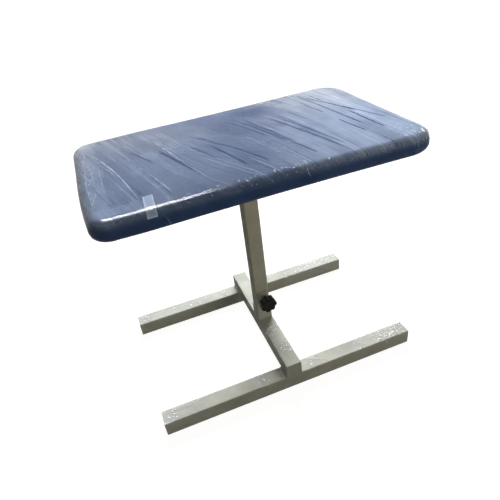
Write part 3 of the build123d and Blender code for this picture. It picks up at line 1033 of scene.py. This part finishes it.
def film_patch(surface, u_range, v_range, cells, lift, haze_and_reflection, crumple, edge, lean=0.0):
    """A second layer of film between these flat coordinates, with a brighter cut edge."""
    columns, count = cells
    rows = []
    for j in range(count + 1):
        row = []
        for i in range(columns + 1):
            share_u, share_v = i / columns, j / count
            v = v_range[0] + (v_range[1] - v_range[0]) * share_v
            u = u_range[0] + (u_range[1] - u_range[0]) * share_u + lean * share_v
            u += 1.2 * MM * noise.noise(Vector((v * 40, share_u * 2, 7.0)))
            place, normal = on_pad(surface, u, v)
            loose = abs(noise.noise(Vector((u, v, 0.0)) * 70))
            place = place + normal * (film_gap + lift + loose * (0.4 + 2.0 * crumple) * MM)
            rim = min(share_u, 1 - share_u) < 0.5 / columns or share_v > 1 - 0.5 / count
            fade = gently(min(share_u, 1 - share_u, share_v, 1 - share_v), 0.0, 0.2)
            mark = (u, u, v, haze_and_reflection * (fade if edge == 0 else 1.0), edge * rim, crumple * fade)
            row.append((place, mark))
        rows.append(row)
    return rows


def add_pad_film():
    """The film round the pad with its folds, its overlap tab and its doubled left end."""
    surface = BVHTree.FromPolygons(
        [vertex.co for vertex in pad_surface.data.vertices],
        [polygon.vertices for polygon in pad_surface.data.polygons],
    )
    sheet = wrap_pad()

    def find_place(u, v):
        return on_pad(surface, u, v)

    def crease(route, width, height, strength):
        return crease_rows(find_place, route, width * MM, height * MM, strength)

    folds = [
        crease([(-0.393, 0.146), (-0.344, 0.0), (-0.307, -0.2)], 6, 1.4, 1.0),
        crease([(-0.365, 0.075), (-0.348, -0.01), (-0.334, -0.06)], 8, 0.9, 0.6),
        crease([(-0.375, 0.03), (-0.372, -0.21)], 4, 0.8, 0.7),
        crease([(-0.277, -0.04), (-0.25, -0.14), (-0.228, -0.245)], 5, 1.0, 0.75),
        crease([(-0.222, 0.146), (-0.2, 0.05), (-0.175, -0.08)], 6.5, 1.1, 0.75),
        crease([(-0.177, -0.075), (-0.155, -0.15), (-0.136, -0.225)], 5, 0.9, 0.6),
        crease([(-0.4, 0.2), (-0.41, 0.0), (-0.405, -0.15)], 5, 0.8, 0.5),
        crease([(-0.395, 0.02), (-0.39, -0.05)], 6, 0.8, 0.7),
        crease([(-0.393, -0.12), (-0.405, -0.18)], 5, 0.8, 0.8),
        crease([(-0.161, 0.05), (-0.148, 0.0)], 3, 0.7, 0.4),
        crease([(0.01, -0.02), (0.03, -0.1), (0.077, -0.25)], 4, 1.0, 0.45),
        crease([(0.03, 0.12), (0.045, 0.08)], 3.5, 0.8, 0.5),
        crease([(0.116, 0.053), (0.138, -0.033)], 3.5, 0.8, 0.35),
        crease([(0.177, -0.06), (0.205, -0.16), (0.219, -0.245)], 3.5, 0.8, 0.45),
        crease([(0.232, 0.14), (0.235, -0.06)], 7, 0.8, 0.25),
        crease([(0.37, 0.06), (0.395, -0.12)], 7, 0.8, 0.25),
        # The next two folds sit on the front edge's highlight: painted glints on real wrinkles.
        crease([(0.078, -0.243), (0.07, -0.262), (0.075, -0.285)], 3.5, 1.2, 1.1),
        crease([(0.135, -0.24), (0.128, -0.262)], 3.5, 1.2, 1.0),
        crease([(0.355, -0.25), (0.36, -0.275), (0.35, -0.31)], 5, 1.2, 0.35),
        crease([(-0.268, -0.27), (-0.25, -0.32)], 3.5, 1.0, 0.4),
    ]
    draw = random.Random(11)
    # Short white folds across the front edge, on the line of its highlight: painted glints on small
    # real wrinkles.
    place = -0.215
    while place < 0.15:
        length = draw.uniform(5, 15) * MM
        lean = draw.uniform(-3, 3) * MM
        start = (place, -0.234 - draw.uniform(0, 8) * MM)
        end = (place + lean, start[1] - length)
        folds.append(crease([start, end], 2.6, 0.9, draw.uniform(0.4, 1.2)))
        place += draw.uniform(6, 26) * MM
    # Painted glints: white folds strewn at the right front corner, along the right end and along the
    # front edge.
    folds += sparkles(find_place, draw, (0.4, -0.232), (0.025, 0.01), 20)
    folds += sparkles(find_place, draw, (0.42, -0.14), (0.01, 0.05), 10)
    folds += sparkles(find_place, draw, (-0.03, -0.247), (0.12, 0.004), 16)
    folds += sparkles(find_place, draw, (0.075, -0.247), (0.008, 0.005), 6)
    folds += sparkles(find_place, draw, (0.34, -0.2), (0.006, 0.01), 4)
    creases = film_strips("pad_film_folds", folds, "top", pad_film)
    tab_u, tab_v = (-0.297, -0.275), (-0.198, -0.276)
    layers = [
        film_patch(surface, tab_u, tab_v, (8, 22), 1.2 * MM, 1.0, 0.25, 0.7, -5 * MM),
        film_patch(surface, (-0.42, -0.3), (-0.205, -0.25), (30, 12), 0.9 * MM, 0.35, 0.06, 0.0),
    ]
    doubled = film_strips("pad_film_layers", layers, "top", pad_film)


add_pad_film()


# ---------------------------------------------------------------- stretch film on the base
def bar_section(half, top, bottom):
    """Half-round cornered path over a bar: up one side, across the top and down the other."""
    corner = 4 * MM
    path = [(-half, bottom), (-half, (bottom + top) / 2)]
    for step in range(5):
        turn = math.radians(90) * step / 4
        across = -half + corner * (1 - math.cos(turn))
        path.append((across, top - corner * (1 - math.sin(turn))))
    path += [(-0.5 * half, top), (0.0, top)]
    mirrored = [(-across, height) for across, height in path[::-1]]
    return path + mirrored[1:]


def wrap_bar(name, node, axis, start, end, bottom, spots, long_folds=()):
    """Film pressed over the top and sides of a bar from start to end along X or Y.

    Each spot is its middle, its reach, its milkiness and its number of painted glints. Each
    long fold is a route of places along and across the bar."""
    low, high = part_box(node)
    if axis == "x":
        middle, half = (low.y + high.y) / 2, (high.y - low.y) / 2
    else:
        middle, half = (low.x + high.x) / 2, (high.x - low.x) / 2
    section = bar_section(half + film_gap, high.z + film_gap, bottom)

    def turned(along, across, height):
        if axis == "x":
            return Vector((along, middle + across, height))
        return Vector((middle - across, along, height))

    def find_place(along, across):
        past = abs(across) - half
        if past <= 0:
            return turned(along, across, high.z), Vector((0, 0, 1))
        side = math.copysign(1, across)
        return turned(along, side * half, high.z - past), turned(0, side, 0) - turned(0, 0, 0)

    steps = int(abs(end - start) / film_cell)
    rows = []
    for step in range(steps + 1):
        along = start + (end - start) * step / steps
        milky = 0.0
        for spot, reach, amount, _ in spots:
            milky = max(milky, amount * near(along, spot, reach))
        row = []
        around = 0.0
        before = section[0]
        for across, height in section:
            around += math.hypot(across - before[0], height - before[1])
            before = (across, height)
            flat = Vector((along, around, middle))
            folds = abs(noise.noise(flat * 38)) + 0.6 * abs(noise.noise(flat * 95))
            swell = (0.25 + 0.3 * milky) * folds * MM
            lifted = height + swell if height > bottom + 1 * MM else height
            place = turned(along, across * (1 + swell / half), lifted)
            on_top = gently(height, high.z - 4 * MM, high.z)
            # Painted reflection on the top: the film on the bars is milkier on top than down the
            # sides.
            haze_and_reflection = (0.4 + 3.2 * milky) * (0.4 + 0.6 * on_top)
            row.append((place, (around, along, around, haze_and_reflection, 0.0, 0.0)))
        rows.append(row)
    strips = [rows]
    strips += [crease_rows(find_place, fold, 4 * MM, 0.8 * MM, 0.8) for fold in long_folds]
    draw = random.Random(name)
    # Painted glints: short white folds strewn round each spot.
    for spot, reach, _, count in spots:
        spread = (min(reach, 80 * MM) * 0.6, half * 0.5)
        strips += sparkles(find_place, draw, (spot, 0.0), spread, count, (start, end))
    piece = film_strips(name, strips, "base", bar_film)


bar_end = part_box("foot_bar_end_plates")[1].x
cross_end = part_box("cross_bar_end_plates")[1].y
left_run = (-bar_end, -beside_cross, foot_film_bottom)
right_run = (beside_cross, bar_end, foot_film_bottom)
# The first front left spot, milky with no glints, is a painted pool of light on the bar's left end.
front_left_spots = [(-0.4, 0.12, 1.4, 0), (-0.385, 0.02, 1.2, 16), (-0.1, 0.012, 0.3, 7)]
front_right_spots = [(0.08, 0.02, 0.6, 10), (0.245, 0.02, 0.6, 18), (0.365, 0.05, 1.0, 70)]
rear_left_spots = [(-0.385, 0.02, 1.0, 12), (-0.25, 0.12, 0.8, 8), (-0.08, 0.02, 0.8, 8)]
rear_right_spots = [(0.3, 0.1, 1.2, 40)]
wrap_bar("front_bar_film_left", "front_foot_bar", "x", *left_run, front_left_spots)
fold = [(0.06, 0.018), (0.085, 0.006), (0.118, -0.02)]
wrap_bar("front_bar_film_right", "front_foot_bar", "x", *right_run, front_right_spots, [fold])
wrap_bar("rear_bar_film_left", "rear_foot_bar", "x", *left_run, rear_left_spots)
wrap_bar("rear_bar_film_right", "rear_foot_bar", "x", *right_run, rear_right_spots)
cross_front_spots = [(-0.085, 0.025, 0.6, 40), (-0.175, 0.02, 0.6, 16)]
cross_rear_spots = [(0.09, 0.03, 0.3, 3)]
cross_front = (-cross_end, -beside_cross, cross_film_bottom)
cross_rear = (beside_cross, cross_end, cross_film_bottom)
wrap_bar("cross_bar_film_front", "cross_bar", "y", *cross_front, cross_front_spots)
wrap_bar("cross_bar_film_rear", "cross_bar", "y", *cross_rear, cross_rear_spots)


# ---------------------------------------------------------------- staples along the hem
def add_hem_staples(spacing):
    """Wire staples that hold the vinyl's hem to the underside of the board."""
    crown, wire, leg = 10 * MM, 0.9 * MM, 4 * MM
    line_inset = hem_inset - staple_line_inset
    half_x, half_y = pad_half_x - line_inset, pad_half_y - line_inset
    spots = []
    for side in (-1, 1):
        count = int(2 * (half_x - pad_plan_corner) / spacing)
        for step in range(count + 1):
            along = (step / count * 2 - 1) * (half_x - pad_plan_corner)
            spots.append((along, side * half_y, 0.0))
        count = int(2 * (half_y - pad_plan_corner) / spacing)
        for step in range(count + 1):
            along = (step / count * 2 - 1) * (half_y - pad_plan_corner)
            spots.append((side * half_x, along, math.pi / 2))
    vertices, faces = [], []
    draw = random.Random(5)
    bend = 0.8 * MM
    route = [
        (-crown / 2, leg),
        (-crown / 2, bend - wire / 2),
        (-crown / 2 + bend, -wire / 2),
        (crown / 2 - bend, -wire / 2),
        (crown / 2, bend - wire / 2),
        (crown / 2, leg),
    ]
    for x, y, turn in spots:
        turn += draw.uniform(-0.12, 0.12)
        first = len(vertices)
        direction = Vector((math.cos(turn), math.sin(turn), 0))
        across = Vector((-direction.y, direction.x, 0))
        middle = Vector((x, y, pad_underside))
        for index, (along, height) in enumerate(route):
            outward = Vector((0, 0, -1)) if 1 < index < 4 else direction * math.copysign(1, along)
            centre = middle + direction * along + Vector((0, 0, height))
            for sign_a, sign_b in ((-1, -1), (1, -1), (1, 1), (-1, 1)):
                edge = centre + across * (sign_a * wire / 2)
                vertices.append(edge + outward * (sign_b * wire / 2))
        for ring in range(len(route) - 1):
            for corner in range(4):
                after = (corner + 1) % 4
                low, high = first + 4 * ring, first + 4 * (ring + 1)
                faces.append((low + corner, low + after, high + after, high + corner))
        faces.append(tuple(first + corner for corner in (3, 2, 1, 0)))
        last = first + 4 * (len(route) - 1)
        faces.append(tuple(last + corner for corner in range(4)))
    piece = new_piece("hem_staples", vertices, faces, "top", zinc, smooth=False)
    face_outward(piece)


add_hem_staples(staple_spacing)


# ---------------------------------------------------------------- camera, light and floor
def make_camera():
    """In front of the stand, to its left and above it."""
    data = bpy.data.cameras.new("camera")
    set_all(data, lens=32.563, sensor_width=36)
    camera = bpy.data.objects.new("camera", data)
    camera.location = (-0.33558, -1.11605, 1.18206)
    camera.rotation_euler = [math.radians(turn) for turn in (54.9734, 6.4873, -20.5679)]
    bpy.context.scene.collection.objects.link(camera)
    bpy.context.scene.camera = camera


def make_lamp(name, place, target, size_x, size_y, power, colour=(1, 1, 1)):
    """A rectangular soft lamp aimed at a point."""
    data = bpy.data.lights.new(name, "AREA")
    set_all(data, shape="RECTANGLE", size=size_x, size_y=size_y, energy=power, color=colour)
    lamp = bpy.data.objects.new(name, data)
    lamp.location = place
    aim = Vector(target) - Vector(place)
    lamp.rotation_euler = aim.to_track_quat("-Z", "Y").to_euler()
    bpy.context.scene.collection.objects.link(lamp)
    return lamp


def seen_directly(tree):
    """1 for rays from the camera, mirrors and glass, 0 for those that light the object."""
    path = add_node(tree, "LightPath").outputs
    seen = math_node("ADD", path["Is Camera Ray"], path["Is Glossy Ray"])
    seen = math_node("ADD", seen, path["Is Transmission Ray"])
    seen.node.use_clamp = True
    return seen


def make_world(ambient, tint):
    """An even sky that lights the object plainly and looks white."""
    world = bpy.data.worlds.new("studio")
    world.use_nodes = True
    bpy.context.scene.world = world
    tree = world.node_tree
    colour = mix_colours(seen_directly(tree), tint, (1, 1, 1))
    strength = remap(seen_directly(tree), 0.0, 1.0, ambient, 1.0)
    set_inputs(tree.nodes["Background"], Color=colour, Strength=strength)


def make_floor(glow):
    """A wide pale floor that looks white and keeps the object's shadow."""
    half = 12.0
    mesh = bpy.data.meshes.new("floor")
    corners = [(-half, -half, 0), (half, -half, 0), (half, half, 0), (-half, half, 0)]
    mesh.from_pydata(corners, [], [(0, 1, 2, 3)])
    floor = bpy.data.objects.new("floor", mesh)
    bpy.context.scene.collection.objects.link(floor)
    material, tree, shader = new_material("studio_floor", Roughness=0.9, Specular_IOR_Level=0.0)
    distance = add_node(tree, "VectorMath", operation="LENGTH")
    feed(distance.inputs[0], add_node(tree, "TexCoord").outputs["Object"])
    even = remap(distance.outputs["Value"], 0.8, 2.6, glow, 1.0)
    set_inputs(
        shader,
        Base_Color=(0.2, 0.19, 0.17, 1),
        Emission_Color=(1, 1, 1, 1),
        Emission_Strength=multiply(seen_directly(tree), even),
    )
    mesh.materials.append(material)


make_camera()
make_world(0.12, (1.0, 0.96, 0.86))
make_floor(0.95)
key = make_lamp("key_lamp", (0.62, 2.0, 1.65), (0, 0, 0.3), 1.6, 1.5, 124, (0.97, 0.98, 1.0))
front = make_lamp("front_lamp", (1.7, -3.0, 1.3), (0, 0, 0.35), 2.2, 1.4, 23, (1.0, 0.95, 0.8))
glint = make_lamp("glint_lamp", (-0.3, 0.74, 2.48), (-0.3, -0.24, 0.735), 1.0, 0.9, 140)
corner_glint = make_lamp("corner_glint_lamp", (1.57, 0.56, 1.25), (0.4, -0.24, 0.735), 0.3, 0.15, 6)
for lamp in (key, front):
    lamp.visible_glossy = False
for lamp in (glint, corner_glint):
    lamp.visible_diffuse = False
bpy.context.scene.view_settings.view_transform = "Standard"

bpy.data.objects.remove(pad_surface)
